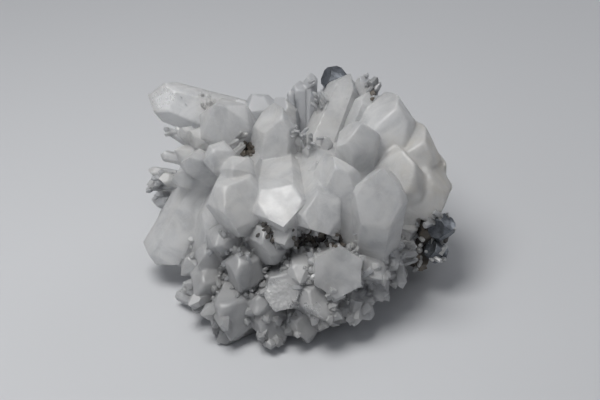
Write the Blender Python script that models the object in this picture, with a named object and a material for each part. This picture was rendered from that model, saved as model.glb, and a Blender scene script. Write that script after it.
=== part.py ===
"""A quartz cluster on a sphalerite matrix with galena crystals, at its real size.

White quartz crystals radiate from the front and the top of a dark lump of sphalerite.
The lump is cut flat underneath and rests on that cut.
Galena crystals sit in the rim and the back of the lump, between small sprays of quartz.
"""

import math
import random
from dataclasses import dataclass
from enum import Enum

import bmesh
import bpy
from mathutils import Matrix, Vector

MM = 0.001

# The cluster is laid out as it is seen from the front, looking down at it. A place is
# (across, up, toward): millimetres to the right, up the view and toward the eye.
LOOK_DOWN = math.radians(35)
EYE_DISTANCE = 500
CENTRE_HEIGHT = 28

# The sphalerite lump, an ellipsoid of cleavage planes, in upright millimetres
LUMP_CENTRE = Vector((2, 10, 14))
LUMP_RADII = Vector((38, 30, 25))
LUMP_PLANES = 72
LUMP_ROUGHNESS = 0.07
LUMP_SEED = 5

# Fits between pieces that touch, and of the quartz above the floor
GAP = 0.35
FLOOR_GAP = 0.4

# Quartz: a rhombohedral face leans this far from the plane across the crystal
POINT_SLOPE = math.radians(51.8)

# Massive quartz, which the crystals stand on: it covers the lump except behind and low on the right
MASS_CENTRE = Vector((4, 5, 12))
MASS_RADII = Vector((35, 29, 29.5))
MASS_EDGES = (
    (Vector((0, 31, 26)), Vector((0.1, 0.86, -0.5))),
    (Vector((31, -6, 12)), Vector((0.86, -0.3, -0.42))),
)
SIDE_CENTRE = Vector((-19, 0, 14))
SIDE_RADII = Vector((17, 20, 20))

# The druse: small crystals strewn over the massive quartz
DRUSE_COUNT = 140
DRUSE_SEED = 11
DRUSE_LENGTH = (3.5, 8)
DRUSE_WIDTH = (3.2, 6)
DRUSE_LOWEST = 5


class Point(Enum):
    """How far each face of a crystal's point is set back, in radii, from face 0 on."""

    SHARP = (0, 0.35, 0, 0.30, 0, 0.40)
    EVEN = (0, 0.06, 0.02, 0.05, 0, 0.08)
    CHISEL = (0, 0.75, 0.70, 0, 0.80, 0.70)
    SLANT = (0, 0.75, 0.90, 1.10, 0.95, 0.70)
    BLUNT = (0.55, 0.30, 0.0, 0.60, 0.45, 0.05)


@dataclass(frozen=True)
class Trim:
    """A flat end that stops a crystal: a place on it and the way it looks, in the view."""

    place: tuple
    outward: tuple


@dataclass(frozen=True)
class Crystal:
    """A quartz crystal: its tip and its root in the view, its width and its form.

    Spin turns it about its length, in degrees. At 0 a prism face looks at the eye.
    Flat is its thickness over its width, and taper its width at the point over that
    at the root. Trims are the flat ends it has besides its point.
    """

    tip: tuple
    root: tuple
    width: float
    spin: float = 0
    flat: float = 1
    point: Point = Point.SHARP
    taper: float = 0.92
    trims: tuple = ()


UPPER_LEFT = (
    Crystal((-48.2, 33.6, -8), (-8, 19.5, -14), 20.5, 5, 0.85, Point.SHARP, 0.42),
    Crystal((-27, 30, 13), (-18, 14, -14), 19.0, 10, 1, Point.EVEN),
    Crystal((-36, 13, 13), (-20, 6, -10), 10.0, 15, 1, Point.BLUNT),
    Crystal((-28, 15.5, 20), (-17, 6, -8), 11.5, 25, 1, Point.EVEN),
    Crystal((-21.5, 10, 25), (-14, 4, -8), 12.0, 0, 1, Point.EVEN),
    Crystal((-35, 22, 6), (-18, 10, -12), 9.0, 30, 1, Point.EVEN),
    Crystal((-40, 16, 4), (-18, 8, -12), 8.0, 0, 1, Point.EVEN),
    Crystal((-40, 8, 6), (-18, 6, -12), 9.0, 20, 1, Point.BLUNT),
)

CENTRE = (
    Crystal((-6.5, 29, 9), (-10, 2, -2), 19.0, 0, 0.85, Point.BLUNT, 0.55),
    Crystal((-5.5, -8, 30), (-7.5, 11, -4), 23.0, 5, 0.85, Point.SHARP, 0.8),
    Crystal((-22.5, -5.5, 29), (-15, 8, -2), 20.5, 35, 1, Point.BLUNT),
    Crystal((5.8, -10, 30), (6, 12, 2), 17.0, 35, 0.9, Point.BLUNT),
    Crystal((-5, -14, 28), (-5, 0, 2), 9.0, 30),
)

LEFT = (
    Crystal(
        (-47, -26, -9), (-22.4, 17.4, -4), 18.0, 0, 0.85, Point.SHARP, 1.0,
        (
            Trim((-41, -20.6, -8), (0, -1, 0)),
            Trim((-47.8, -17.2, -8), (-0.86, -0.52, 0)),
            Trim((-31.3, -13.6, -8), (0.77, -0.64, 0)),
        ),
    ),
    Crystal((-27, -15, 21), (-16, -6, -8), 12.0, 20, 1, Point.EVEN),
)

RIGHT_FRONT = (
    Crystal((26, 3, 31), (22, -20, 5), 17.5, 0, 1, Point.SLANT),
    Crystal((9.5, 14, 23), (20, -19, 13), 16.0, 0, 0.8, Point.BLUNT),
    Crystal((19.5, 24.5, 16), (16, 2, -6), 16.0, 30, 0.9, Point.SHARP),
    Crystal((3.5, 18, 11), (4, 4, -8), 6.0, 10, 1, Point.EVEN),
    Crystal((0, 21, 9), (0, 6, -10), 5.0, 30, 1, Point.EVEN),
    Crystal((8, 20, 9), (6, 6, -10), 6.0, 0, 1, Point.EVEN),
    Crystal((5, 12, 18), (6, -4, -2), 5.5, 20, 1, Point.EVEN),
)

UPPER_RIGHT = (
    Crystal((16, 40, -13), (2, 6, -4), 15.0, 0, 0.8, Point.EVEN, 0.62),
    Crystal((22, 34.5, -5), (12, 10, -10), 7.5, 20, 1, Point.EVEN),
    Crystal((29.5, 33, 0), (24, -8, -4), 25.0, 5, 1, Point.BLUNT, 0.6),
    Crystal((38.5, 24, 1), (28, -10, -6), 24.0, 10, 1, Point.BLUNT, 0.8),
    Crystal((46, 12.5, -3), (26, -6, -8), 19.0, 10, 1, Point.BLUNT, 0.8),
    Crystal((47, 1.5, 2), (24, 4, -10), 20.0, 20, 1, Point.BLUNT, 0.85),
    Crystal((43.5, -7, 6), (31, 20, -6), 20.0, 0, 1, Point.SHARP, 0.85),
    Crystal((35, 13, 13), (26, -6, -10), 21.0, 30, 1, Point.BLUNT, 0.9),
)

LOWER = (
    Crystal(
        (13.3, -25.5, 39), (9, -17, -4), 16.5, 0, 1, Point.EVEN, 1.0,
        (Trim((13, -24.5, 28), (0.12, -0.2, 1)),),
    ),
    Crystal((0, -26.5, 28), (0, -12, 0), 9.5, 0, 1, Point.EVEN),
    Crystal(
        (-6, -32.5, 33), (-5, -20, 0), 11.5, 15, 1, Point.EVEN, 1.0,
        (Trim((-6, -32, 26), (-0.1, 0, 1)),),
    ),
    Crystal((5.5, -36, 28), (4, -20, 0), 15.5, 10, 1, Point.BLUNT),
    Crystal((-33, -32, 13), (-16, -12, -8), 15.0, 5, 1, Point.BLUNT),
    Crystal((-24.5, -42, 22), (-14, -20, -4), 17.0, 20, 1, Point.BLUNT),
    Crystal((-20, -26, 24), (-11, -10, -4), 14.0, 10, 1, Point.BLUNT),
    Crystal((-11, -16, 27), (-8, -6, 0), 14.5, 15, 1, Point.BLUNT),
    Crystal((-10.5, -44.5, 21), (-5, -22, -2), 14.0, 30, 1, Point.BLUNT),
    Crystal((0.5, -44, 21), (0, -22, -2), 12.5, 10, 1, Point.BLUNT),
    Crystal((-14, -37, 23), (-6, -18, -2), 9.0, 0, 1, Point.EVEN),
    Crystal((-32, -22, 13), (-16, -8, -6), 12.0, 25, 1, Point.BLUNT),
    Crystal((10, -39, 19), (5, -20, -2), 11.0, 0, 1, Point.EVEN),
    Crystal((19.5, -38, 19), (11, -18, -2), 12.0, 20, 1, Point.BLUNT),
    Crystal((26, -32, 16), (15, -12, -6), 11.5, 5, 1, Point.EVEN),
    Crystal((24, -25, 22), (15, -12, -6), 11.0, 15, 1, Point.BLUNT),
    Crystal((31, -21, 17), (18, -10, -8), 9.5, 25, 1, Point.EVEN),
    Crystal((32, -26, 11), (18, -10, -8), 9.5, 10, 1, Point.EVEN),
    Crystal((36.5, -19, 9), (20, -8, -8), 8.5, 0),
    Crystal((-38, -24, -1), (-18, -8, -10), 9.0, 15, 1, Point.EVEN),
)

LEFT_EDGE = (
    Crystal((-42.5, 22.5, 0), (-20, 8, -12), 3.0, 30, 0.5),
    Crystal((-38, 23, 6), (-18, 8, -12), 5.5, 0, 0.8, Point.BLUNT),
    Crystal((-44.5, 14.5, -2), (-18, 8, -12), 3.6, 0, 0.6),
    Crystal((-48.5, 9.5, -10), (-18, 4, -14), 4.0, 30, 0.7),
    Crystal((-49, 5, -12), (-18, 4, -14), 4.2, 0, 0.7),
    Crystal((-45, 7, -3), (-18, 4, -14), 5.6, 20, 0.7),
    Crystal((-47.5, 0, -12), (-18, 2, -14), 7.0, 0, 0.8),
    Crystal((-45, -5, -13), (-18, 0, -14), 6.6, 30, 0.8),
    Crystal((-37, -32, 4), (-18, -12, -8), 4.0, 0, 0.8),
)

TOP = (
    Crystal(
        (-13.5, 36, -9), (-11, 8, -14), 13.5, 0, 0.9, Point.EVEN, 0.92,
        (Trim((-12.8, 33.8, -9), (0.04, 1, 0)),),
    ),
    Crystal((-6, 32.5, -7), (-4, 8, -14), 12.0, 25, 0.8, Point.BLUNT),
    Crystal((0, 38, -15), (0, 10, -16), 6.5, 5),
    Crystal((3.5, 40.5, -15), (2, 10, -16), 5.6, 30),
    Crystal((-3, 35, -10), (-2, 10, -14), 2.6, 0, 0.7),
    Crystal((8, 33, -6), (4, 10, -14), 4.2, 20, 0.7),
    Crystal((-20, 32, -8), (-12, 10, -14), 8.0, 0, 0.7),
    Crystal((21, 40, -16), (10, 10, -16), 5.6, 10),
    Crystal((24, 38.5, -14), (12, 10, -16), 5.0, 30),
    Crystal((26, 33.5, -12), (12, 10, -16), 5.6, 0),
    Crystal((11.3, 38.3, -20), (5, 10, -17), 9.0, 15),
)

BACK = (
    Crystal((-30, 31, -26), (-12, 8, -20), 9.0, 10),
    Crystal((-38, 22, -24), (-14, 6, -20), 8.0, 30),
    Crystal((-16, 29, -32), (-6, 8, -22), 10.0, 0, 1, Point.EVEN),
    Crystal((-4, 30, -33), (-2, 8, -22), 8.0, 20),
    Crystal((22, 32, -28), (10, 8, -22), 10.5, 15, 1, Point.EVEN),
    Crystal((37, 23, -23), (14, 6, -18), 9.0, 5),
    Crystal((43, 11, -20), (16, 4, -16), 9.0, 25),
)

CLUSTER = UPPER_LEFT + CENTRE + LEFT + RIGHT_FRONT + UPPER_RIGHT + LOWER + LEFT_EDGE + TOP + BACK


@dataclass(frozen=True)
class Grain:
    """A crystal of ore: its middle in upright millimetres, its size and how it is turned."""

    middle: tuple
    size: float
    turn: tuple = (0, 0, 0)


# Sphalerite crystals that have grown together with the lump, on its right side and its back
SPHALERITE_GRAINS = (
    Grain((37, -3, 15), 16, (20, 35, 10)),
    Grain((42, -5, 19), 11, (50, 15, 40)),
    Grain((38, -7, 12), 11, (5, 25, 70)),
    Grain((40, 5, 8), 13, (70, 10, 20)),
    Grain((30, 33, 20), 13, (10, 50, 25)),
    Grain((12, 40, 12), 14, (35, 20, 60)),
    Grain((-14, 39, 16), 13, (15, 70, 5)),
    Grain((-31, 26, 12), 12, (60, 10, 30)),
    Grain((27, 34, 5), 11, (5, 25, 50)),
)

GALENA_GRAINS = {
    "galena_top": Grain((11.3, 36.4, 51.2), 6.4, (25, 30, 15)),
    "galena_right_upper": Grain((45, -8, 23), 6.5, (35, 20, 50)),
    "galena_right_lower": Grain((43.5, -10, 15), 5.6, (10, 40, 20)),
    "galena_back_middle": Grain((1, 42, 19), 9.0, (20, 10, 30)),
    "galena_back_left": Grain((22, 39, 14), 8.0, (40, 25, 10)),
    "galena_back_right": Grain((-23, 35, 20), 7.5, (15, 50, 35)),
}

# Colours of the three minerals: base colour, roughness, metallic, transmission
QUARTZ_FINISH = ((0.80, 0.81, 0.82, 1), 0.28, 0, 0.35)
SPHALERITE_FINISH = ((0.045, 0.032, 0.026, 1), 0.35, 0, 0)
GALENA_FINISH = ((0.36, 0.37, 0.40, 1), 0.30, 1, 0)


def from_view(place):
    """The upright place, in millimetres, of a place (across, up, toward) in the view."""
    across, up, toward = place
    nearness = 1 - toward / EYE_DISTANCE
    sine, cosine = math.sin(LOOK_DOWN), math.cos(LOOK_DOWN)
    return Vector((
        across * nearness,
        up * nearness * sine - toward * cosine,
        CENTRE_HEIGHT + up * nearness * cosine + toward * sine,
    ))


def slice_off(body, place, outward):
    """Cut a convex body along a plane, drop the outer side and close the cut."""
    geometry = body.verts[:] + body.edges[:] + body.faces[:]
    cut = bmesh.ops.bisect_plane(
        body, geom=geometry, plane_co=place, plane_no=outward, clear_outer=True
    )
    rim = [item for item in cut["geom_cut"] if isinstance(item, bmesh.types.BMEdge)]
    if len(rim) > 2:
        bmesh.ops.contextual_create(body, geom=rim)


def make_object(name, body, collection):
    """Turn a bmesh in millimetres into an object in metres."""
    bmesh.ops.recalc_face_normals(body, faces=body.faces)
    body.transform(Matrix.Scale(MM, 4))
    mesh = bpy.data.meshes.new(name)
    body.to_mesh(mesh)
    body.free()
    piece = bpy.data.objects.new(name, mesh)
    collection.objects.link(piece)
    return piece


def combine(target, tool, operation):
    """Join the tool to the target, or take it away, and remove the tool."""
    change = target.modifiers.new(operation.lower(), "BOOLEAN")
    change.operation = operation
    change.solver = "EXACT"
    change.object = tool
    view = bpy.context.evaluated_depsgraph_get()
    view.update()
    result = bpy.data.meshes.new_from_object(target.evaluated_get(view))
    target.modifiers.clear()
    before = target.data
    target.data = result
    bpy.data.meshes.remove(before)
    spent = tool.data
    bpy.data.objects.remove(tool)
    bpy.data.meshes.remove(spent)


def keep_largest_shell(piece):
    """Drop the closed hollows and crumbs that joining leaves, and keep the outer shell."""
    body = bmesh.new()
    body.from_mesh(piece.data)
    unseen = set(body.verts)
    shells = []
    while unseen:
        shell = set()
        edge_of_search = [unseen.pop()]
        while edge_of_search:
            vert = edge_of_search.pop()
            shell.add(vert)
            for edge in vert.link_edges:
                other = edge.other_vert(vert)
                if other in unseen:
                    unseen.remove(other)
                    edge_of_search.append(other)
        shells.append(shell)
    shells.sort(key=len)
    for shell in shells[:-1]:
        bmesh.ops.delete(body, geom=list(shell), context="VERTS")
    body.to_mesh(piece.data)
    body.free()


def crystal_body(crystal, chance):
    """A six-sided prism with a six-faced point, as a bmesh in upright millimetres."""
    tip, root = from_view(crystal.tip), from_view(crystal.root)
    eye = from_view((0, 0, EYE_DISTANCE - 1))
    length = (tip - root).length
    along = (tip - root).normalized()
    to_eye = eye - tip
    side = (to_eye - along * to_eye.dot(along)).normalized()
    radius = crystal.width / 2
    body = bmesh.new()
    rise = Matrix.Translation((0, 0, length / 2 + radius))
    bmesh.ops.create_cone(
        body, cap_ends=True, segments=6, radius1=radius, radius2=radius * crystal.taper,
        depth=length + 2 * radius, matrix=rise,
    )
    for index, setback in enumerate(crystal.point.value):
        bearing = math.radians(60 * index)
        outward = Vector((
            math.sin(POINT_SLOPE) * math.cos(bearing),
            math.sin(POINT_SLOPE) * math.sin(bearing),
            math.cos(POINT_SLOPE),
        ))
        lift = radius * (setback + chance.uniform(0, 0.12))
        slice_off(body, Vector((0, 0, length + lift)), outward)
    bmesh.ops.scale(body, vec=(crystal.flat, 1, 1), verts=body.verts)
    frame = Matrix((side, along.cross(side), along)).transposed().to_4x4()
    spin = Matrix.Rotation(math.radians(crystal.spin), 4, "Z")
    body.transform(Matrix.Translation(root) @ frame @ spin)
    for trim in crystal.trims:
        place = from_view(trim.place)
        beyond = from_view(a + b for a, b in zip(trim.place, trim.outward))
        slice_off(body, place, (beyond - place).normalized())
    return body


def spread_directions(count):
    """Directions spread evenly over a sphere, along a golden spiral."""
    golden = math.pi * (3 - math.sqrt(5))
    for index in range(count):
        height = 1 - 2 * (index + 0.5) / count
        reach = math.sqrt(1 - height * height)
        yield Vector((reach * math.cos(golden * index), reach * math.sin(golden * index), height))


def faceted_lump(centre, radii, swell=0):
    """An ellipsoid of flat cleavage planes, each moved outward by swell."""
    chance = random.Random(LUMP_SEED)
    body = bmesh.new()
    bmesh.ops.create_cube(body, size=4 * max(radii), matrix=Matrix.Translation(centre))
    for outward in spread_directions(LUMP_PLANES):
        reach = Vector(radius * part for radius, part in zip(radii, outward)).length
        reach *= 1 + chance.uniform(-LUMP_ROUGHNESS, LUMP_ROUGHNESS)
        slice_off(body, centre + outward * (reach + swell), outward)
    return body


def lump_body(swell=0):
    """The sphalerite lump, or the room that it needs."""
    return faceted_lump(LUMP_CENTRE, LUMP_RADII, swell)


def floor_block(top):
    """Everything below a height, for cutting a piece off flat."""
    size = 300
    body = bmesh.new()
    bmesh.ops.create_cube(body, size=size, matrix=Matrix.Translation((0, 0, top - size / 2)))
    return body


def grain_turn(grain):
    """The matrix that turns a grain and sets it in its place."""
    turn = Matrix.Identity(4)
    for axis, angle in zip("XYZ", grain.turn):
        turn = Matrix.Rotation(math.radians(angle), 4, axis) @ turn
    return Matrix.Translation(grain.middle) @ turn


def galena_body(grain, swell=0):
    """A galena crystal: a cube whose eight corners are cut off."""
    size = grain.size + 2 * swell
    corner = grain.size * 0.5 * 1.32 + swell
    body = bmesh.new()
    bmesh.ops.create_cube(body, size=size)
    for east in (-1, 1):
        for north in (-1, 1):
            for top in (-1, 1):
                outward = Vector((east, north, top)).normalized()
                slice_off(body, outward * corner, outward)
    body.transform(grain_turn(grain))
    return body


def sphalerite_body(grain):
    """A sphalerite crystal: a tetrahedron with cut corners and bevelled edges."""
    half = grain.size / 2
    body = bmesh.new()
    bmesh.ops.create_cube(body, size=grain.size * 2)
    for east, north, top in ((1, 1, 1), (1, -1, -1), (-1, 1, -1), (-1, -1, 1)):
        outward = Vector((east, north, top)).normalized()
        slice_off(body, outward * half * 0.62, outward)
        slice_off(body, -outward * half * 1.1, -outward)
    for axis in range(3):
        for sign in (-1, 1):
            outward = Vector((0, 0, 0))
            outward[axis] = sign
            slice_off(body, outward * half * 0.92, outward)
    body.transform(grain_turn(grain))
    return body


def mass_body():
    """The massive quartz, cut off where the lump is bare."""
    body = faceted_lump(MASS_CENTRE, MASS_RADII)
    for place, outward in MASS_EDGES:
        slice_off(body, place, outward)
    return body


def side_body():
    """More massive quartz, low on the left."""
    return faceted_lump(SIDE_CENTRE, SIDE_RADII)


def distance_to_axis(place, crystal):
    """How far an upright place is from the line between a crystal's root and its tip."""
    tip, root = from_view(crystal.tip), from_view(crystal.root)
    along = tip - root
    share = min(max((place - root).dot(along) / along.length_squared, 0), 1)
    return (place - root - along * share).length


def druse_crystals():
    """Small crystals that stand on the massive quartz all round, leaning a little from it."""
    chance = random.Random(DRUSE_SEED)
    for direction in spread_directions(DRUSE_COUNT):
        foot = MASS_CENTRE + Vector(a * b for a, b in zip(MASS_RADII, direction))
        length = chance.uniform(*DRUSE_LENGTH)
        width = chance.uniform(*DRUSE_WIDTH)
        lean = Vector(chance.uniform(-0.5, 0.5) for _ in range(3))
        spin = chance.uniform(0, 60)
        bare = any((foot - place).dot(outward) > -2 for place, outward in MASS_EDGES)
        if bare or foot.z < DRUSE_LOWEST:
            continue
        upright = Vector(a / b for a, b in zip(direction, MASS_RADII)).normalized()
        outward = (upright + lean).normalized()
        tip = foot + outward * length
        if any(distance_to_axis(tip, crystal) < crystal.width * 0.6 for crystal in CLUSTER):
            continue
        yield tip, foot - outward * 3, width, spin


def upright_crystal(tip, root, width, spin, chance):
    """A small crystal between two upright places."""
    return crystal_body(Crystal(to_view(tip), to_view(root), width, spin), chance)


def to_view(place):
    """The place (across, up, toward) in the view of an upright place in millimetres."""
    sine, cosine = math.sin(LOOK_DOWN), math.cos(LOOK_DOWN)
    height = place.z - CENTRE_HEIGHT
    toward = height * sine - place.y * cosine
    nearness = 1 - toward / EYE_DISTANCE
    return (place.x / nearness, (height * cosine + place.y * sine) / nearness, toward)


def finish(name, look):
    """A plain material with a mineral's colour and gloss."""
    colour, roughness, metallic, transmission = look
    material = bpy.data.materials.new(name)
    material.use_nodes = True
    shader = material.node_tree.nodes["Principled BSDF"]
    shader.inputs["Base Color"].default_value = colour
    shader.inputs["Roughness"].default_value = roughness
    shader.inputs["Metallic"].default_value = metallic
    shader.inputs["Transmission Weight"].default_value = transmission
    material.diffuse_color = colour
    return material


def dress(piece, material):
    """Give a piece its one material."""
    piece.data.materials.clear()
    piece.data.materials.append(material)
    for polygon in piece.data.polygons:
        polygon.material_index = 0


def main():
    """Build the cluster, the matrix and the galena crystals."""
    for leftover in list(bpy.data.objects):
        bpy.data.objects.remove(leftover)
    collection = bpy.data.collections.new("quartz_with_galena_and_sphalerite")
    bpy.context.scene.collection.children.link(collection)

    chance = random.Random(3)
    quartz = make_object("quartz_cluster", mass_body(), collection)
    bodies = [side_body()] + [crystal_body(crystal, chance) for crystal in CLUSTER]
    bodies += [upright_crystal(*row, chance) for row in druse_crystals()]
    for body in bodies:
        combine(quartz, make_object("crystal", body, collection), "UNION")
    combine(quartz, make_object("lump_room", lump_body(GAP), collection), "DIFFERENCE")
    combine(quartz, make_object("floor", floor_block(FLOOR_GAP), collection), "DIFFERENCE")

    sphalerite = make_object("sphalerite_matrix", lump_body(0), collection)
    for grain in SPHALERITE_GRAINS:
        combine(sphalerite, make_object("grain", sphalerite_body(grain), collection), "UNION")
        combine(quartz, make_object("room", sphalerite_body(swollen(grain)), collection), "DIFFERENCE")
    combine(sphalerite, make_object("floor", floor_block(0), collection), "DIFFERENCE")

    galena_finish = finish("galena", GALENA_FINISH)
    for name, grain in GALENA_GRAINS.items():
        for host in (quartz, sphalerite):
            combine(host, make_object("socket", galena_body(grain, GAP), collection), "DIFFERENCE")
        dress(make_object(name, galena_body(grain), collection), galena_finish)

    for piece, look in ((quartz, QUARTZ_FINISH), (sphalerite, SPHALERITE_FINISH)):
        keep_largest_shell(piece)
        dress(piece, finish(piece.name, look))


def swollen(grain):
    """The same grain with room for the gap all round it."""
    return Grain(grain.middle, grain.size + 3 * GAP, grain.turn)


main()
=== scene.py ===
"""The looks of a quartz cluster on sphalerite with galena crystals.

Milky quartz, its druse, the dark sphalerite, the lead-grey galena, and the studio they stand in.
"""

import logging
import math
import random
from dataclasses import dataclass, field
from enum import Enum
from typing import Any, Callable, Iterator, Sequence

import bmesh
import bpy
import numpy as np
from mathutils import Matrix, Vector, noise
from mathutils.bvhtree import BVHTree


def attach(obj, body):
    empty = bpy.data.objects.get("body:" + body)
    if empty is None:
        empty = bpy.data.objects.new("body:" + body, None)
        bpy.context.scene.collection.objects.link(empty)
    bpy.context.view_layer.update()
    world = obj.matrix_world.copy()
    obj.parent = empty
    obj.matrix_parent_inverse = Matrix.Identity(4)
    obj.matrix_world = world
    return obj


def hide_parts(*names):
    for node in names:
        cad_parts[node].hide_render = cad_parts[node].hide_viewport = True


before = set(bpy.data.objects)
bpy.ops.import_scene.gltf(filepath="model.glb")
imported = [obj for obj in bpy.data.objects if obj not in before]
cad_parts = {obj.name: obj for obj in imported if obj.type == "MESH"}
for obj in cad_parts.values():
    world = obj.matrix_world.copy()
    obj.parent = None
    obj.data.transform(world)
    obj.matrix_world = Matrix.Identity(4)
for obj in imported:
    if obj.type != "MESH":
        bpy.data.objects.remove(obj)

log = logging.getLogger("quartz")

MM = 0.001
BODY = "root"
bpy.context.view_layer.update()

Colour = tuple[float, float, float, float]
Region = tuple[Vector, float]
Shape = tuple[np.ndarray, list[list[int]]]


@dataclass(frozen=True)
class Viewpoint:
    """Where the cluster is looked at from, and places as they are seen from there.

    A place in the view is (across, up, toward): millimetres to the right, up the view and
    toward the eye, from a point above the middle of the base.
    """

    look_down: float = math.radians(35)
    distance: float = 500
    height: float = 28

    def place(self, across: float, up: float, toward: float) -> Vector:
        """Find the upright place, in metres, of a place in the view.

        Args:
            across: Millimetres to the right of the view's middle.
            up: Millimetres above it in the view.
            toward: Millimetres nearer to the eye.

        Returns:
            The place in the frame's own axes.
        """
        nearness = 1 - toward / self.distance
        sine, cosine = math.sin(self.look_down), math.cos(self.look_down)
        return MM * Vector((
            across * nearness,
            up * nearness * sine - toward * cosine,
            self.height + up * nearness * cosine + toward * sine,
        ))

    def direction(self, across: float, up: float, toward: float) -> Vector:
        """Turn a direction in the view into one in the frame's own axes.

        Args:
            across: How far it goes to the right.
            up: How far it goes up the view.
            toward: How far it goes toward the eye.

        Returns:
            The direction, as long as it was.
        """
        sine, cosine = math.sin(self.look_down), math.cos(self.look_down)
        return Vector((across, up * sine - toward * cosine, up * cosine + toward * sine))

    def seen(self, place: Vector) -> tuple[float, float, float]:
        """Find where in the view an upright place is.

        Args:
            place: A place in metres.

        Returns:
            The millimetres across, up and toward the eye.
        """
        sine, cosine = math.sin(self.look_down), math.cos(self.look_down)
        x, y, height = place.x / MM, place.y / MM, place.z / MM - self.height
        toward = height * sine - y * cosine
        nearness = 1 - toward / self.distance
        return x / nearness, (height * cosine + y * sine) / nearness, toward


VIEW = Viewpoint()


class Signal:
    """A shader socket that takes part in Python expressions on values."""

    def __init__(self, maker: "Shader", socket: bpy.types.NodeSocket) -> None:
        """Wrap a socket.

        Args:
            maker: The shader that the socket belongs to.
            socket: An output socket that carries a value.
        """
        self.maker = maker
        self.socket = socket

    def _math(self, operation: str, *values: Any) -> "Signal":
        """Add a Math node.

        Args:
            operation: The node's operation.
            *values: Its inputs, in order: signals or numbers.

        Returns:
            The node's value.
        """
        return self.maker.value("ShaderNodeMath", {"operation": operation}, dict(enumerate(values)))

    def __add__(self, other: Any) -> "Signal":
        """Add another value."""
        return self._math("ADD", self, other)

    __radd__ = __add__

    def __sub__(self, other: Any) -> "Signal":
        """Take another value away."""
        return self._math("SUBTRACT", self, other)

    def __rsub__(self, other: Any) -> "Signal":
        """Take this value away from another."""
        return self._math("SUBTRACT", other, self)

    def __mul__(self, other: Any) -> "Signal":
        """Multiply by another value."""
        return self._math("MULTIPLY", self, other)

    __rmul__ = __mul__

    def __truediv__(self, other: Any) -> "Signal":
        """Divide by another value."""
        return self._math("DIVIDE", self, other)

    def __rtruediv__(self, other: Any) -> "Signal":
        """Divide another value by this one."""
        return self._math("DIVIDE", other, self)

    def clamped(self) -> "Signal":
        """Keep the value between 0 and 1."""
        return self._math("MINIMUM", self._math("MAXIMUM", self, 0.0), 1.0)


@dataclass(frozen=True)
class Mottle:
    """A pattern of soft lumps on a surface.

    Size is the lumps' size in millimetres, detail how many finer layers they have, roughness
    how strong those are and swirl how far they are distorted. Low and high are the levels of
    the pattern that are stretched to 0 and 1.
    """

    size: float
    detail: float
    roughness: float
    swirl: float = 0.0
    low: float = 0.0
    high: float = 1.0


@dataclass(frozen=True)
class Bump:
    """How deep a relief in a finish is, in millimetres, and how much of it shows."""

    depth: float
    strength: float


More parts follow.
